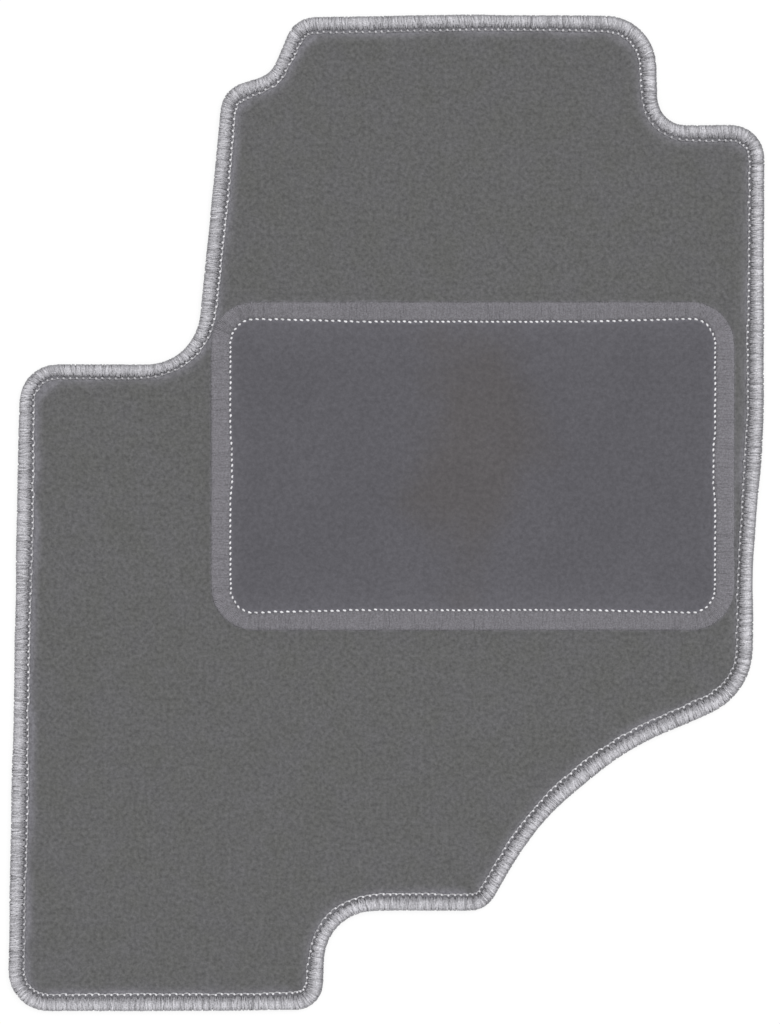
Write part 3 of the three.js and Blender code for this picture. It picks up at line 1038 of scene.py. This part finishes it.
def heel_band():
    """Fine yarn wrapped closely round the heel pad's edge, nearly flat on top."""
    random = np.random.default_rng(32)
    bottom, top = low(PAD_YARN), high(PAD_YARN)
    radius, pitch, walk = mm(0.36, 0.92, 6)
    reach, crest = mm(11.4, 2.2)
    hole = (SEAM_INSET - 0.4 * MM, top - 0.45 * MM)
    tuck = ([4 * MM], [bottom + radius])
    inset, height = strand_path(reach, crest, bottom, top, hole, tuck, radius)
    starts = pad.walk(walk, pitch)
    count, journey = len(starts), np.linspace(0, 1, len(inset))

    phase = random.uniform(0, 2 * pi, (2, count, 1))
    wander = drift(random, count, 4)[:, None] * 0.3 * MM * between(reach, 0, inset)
    place = starts[:, None] + 0.07 * MM * np.sin(journey * 11 + phase[0]) + wander
    lift = random.normal(0, 0.05 * MM, (count, 1))
    lift = lift + 0.03 * MM * np.sin(journey * 8 + phase[1])
    raised = height + lift * np.sign(height - (bottom + top) / 2)
    x, y = pad.normal(starts).T[..., None]
    further = (0.2 + 0.1 * x + 0.22 * y + 0.28 * y**2) * MM
    further = further + random.normal(0, 0.12 * MM, (count, 1))
    reached = inset - further * (1 - ramp(0, 4, inset))
    centres, across = with_height(pad.place(place, reached), raised), pad.sideways(place)
    growth = pad.stretch(place, inset) / pad.stretch(place, walk)
    width = pitch * 0.62 * growth * random.normal(1, 0.08, (count, 1))
    thick = np.full(place.shape, radius)

    # painted light: a lighter line along the rounded rim, and painted shade towards the seam
    lit = np.interp(inset, [*mm(1, 2.2, 6, 11), hole[0]], [1.15, 1.05, 0.85, 0.85, 0.7])
    shade = np.clip(random.normal(0.92, 0.06, (count, 1)), 0, 1) * lit
    # painted shade: the front and rear sides darker, for how the light falls on them
    shade = shade * (1 - 0.22 * np.abs(pad.normal(place[:, :1])[..., 1]))
    # painted light and shade at the corners: brighter and darker strands where the yarn
    # bunches
    corner = between(10, 25, pad.read(pad.bend(4 * MM), starts))
    shade = shade * (1 + 0.2 * corner * drift(random, count, 1.2))[:, None]  # bunched there
    material = spun(
        "mid grey yarn", (123, 121, 126.5), (106, 105, 108.5), 0.2, 0.4 * MM,
        run=1.5, contrast=0.12, fluff=0.3,
    )
    made = tubes(centres, across, width, thick, shade)
    thread_piece("heel_band", made, material, "heel_yarn", PAD_YARN)


def seam_stitches():
    """Thick white thread: short raised stitches, each slanted a little, in a groove."""
    ground = high("heel_pad_face") - 0.5 * MM

    def path(journey, count, random):
        slanted = (0.5 - journey) * 0.45 * MM
        part = 0.23 + 0.54 * journey + random.normal(0, 0.02, (count, 1))
        inset = SEAM_INSET + 0.2 * MM + slanted + random.normal(0, 0.13 * MM, (count, 1))
        rise = np.sin(pi * journey) ** 0.6
        height = ground + (rise * 0.65 - 0.15) * MM
        return part, inset, height, 0.55 + 0.45 * rise

    def shade(journey, count, random):
        stitch = np.clip(random.normal(0.85, 0.12, (count, 1)), 0.4, 1)
        # painted shade: each stitch darker towards its ends, where it dives into the groove
        return stitch * (0.45 + 0.55 * np.sin(pi * journey) ** 0.5)

    made = stitch_row(pad, seam_holes, path, shade, (0.66, 0.45), twists=0.6)
    light, dark = (238, 237, 240), (122, 121, 125)
    material = spun("seam thread", light, dark, 1.0, 0.16 * MM, roughness=0.5)
    thread_piece("seam_stitches", made, material, "white_thread", "heel_pad_seam_thread")


def bobbin_stitches():
    """The seam's underside: longer, flatter stitches in the latex coat's groove."""
    node = "heel_pad_bobbin_thread"
    ground = middle_height(node)

    def path(journey, count, random):
        rise = np.sin(pi * journey) ** 0.5
        height = ground + (0.25 - 0.25 * rise) * MM
        return 0.06 + 0.88 * journey, SEAM_INSET, height, 0.5 + 0.5 * rise

    def shade(journey, count, random):
        return random.uniform(0.4, 0.9, (count, 1))

    made = stitch_row(pad, seam_holes, path, shade, (0.5, 0.28), twists=0.6, steps=8)
    light, dark = (150, 150, 153), (120, 120, 123)
    material = spun("grey bobbin thread", light, dark, 1.0, 0.16 * MM)
    thread_piece("bobbin_stitches", made, material, "bobbin_thread", node)


# ---- Hidden layers, floor, light and camera ----

def hidden_layers():
    """The two backings inside the mat keep their CAD shape."""
    cloths = {
        "carpet_primary_backing": (woven("primary backing cloth", 76), "primary_cloth"),
        "heel_pad_backing": (woven("heel pad backing cloth", 62), "heel_backing"),
    }
    for node, (material, slot) in cloths.items():
        cad_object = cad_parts[node]
        for material_slot in cad_object.material_slots:
            material_slot.link = "OBJECT"
            material_slot.material = material


def floor():
    """A wide floor, pale because it glows, just below the mat."""
    s = Surface("pale floor", roughness=0.9, specular=0.0)
    s.shader.inputs["Base Color"].default_value = (0.2, 0.2, 0.2, 1)
    s.shader.inputs["Emission Color"].default_value = (1, 1, 1, 1)
    s.shader.inputs["Emission Strength"].default_value = 0.8
    half = 6.0
    corners = [(-half, -half, 0), (half, -half, 0), (half, half, 0), (-half, half, 0)]
    mesh = bpy.data.meshes.new("floor")
    mesh.from_pydata(corners, [], [(0, 1, 2, 3)])
    mesh.materials.append(s.material)
    made = placed("floor", mesh)
    made.location.z = cad_box[0].z - 0.02 * MM


def lights():
    """An even white room, and a large soft lamp on the right, towards the front."""
    world = bpy.data.worlds.new("room")
    world.use_nodes = True
    background = world.node_tree.nodes["Background"]
    background.inputs["Color"].default_value = (1, 1, 1, 1)
    background.inputs["Strength"].default_value = 0.96
    bpy.context.scene.world = world
    sun = bpy.data.lights.new("key", "SUN")
    sun.energy = 0.8
    sun.angle = radians(40)
    to_lamp = Vector((0.7, 0.75, 1.3))
    placed("key", sun).rotation_euler = to_lamp.to_track_quat("Z", "Y").to_euler()
    bpy.context.scene.view_settings.view_transform = "Standard"


def camera():
    """Straight above, far enough away for the mat to look almost flat."""
    view_height = 0.6799  # what the frame's long side spans, at the yarn's widest
    lens = bpy.data.cameras.new("camera")
    lens.lens = 135
    lens.sensor_width = 36
    lens.clip_end = 50
    made = placed("camera", lens)
    distance = view_height * lens.lens / lens.sensor_width
    widest = middle_height(EDGE_YARN)
    made.location = (2.32 * MM, 0.66 * MM, widest + distance)
    bpy.context.scene.camera = made


camera()
lights()
floor()
carpet()
anti_slip_coat()
hidden_layers()
edge_core()
edge_yarn()
edge_stitches()
looper_thread()
heel_panel()
heel_band()
seam_stitches()
bobbin_stitches()
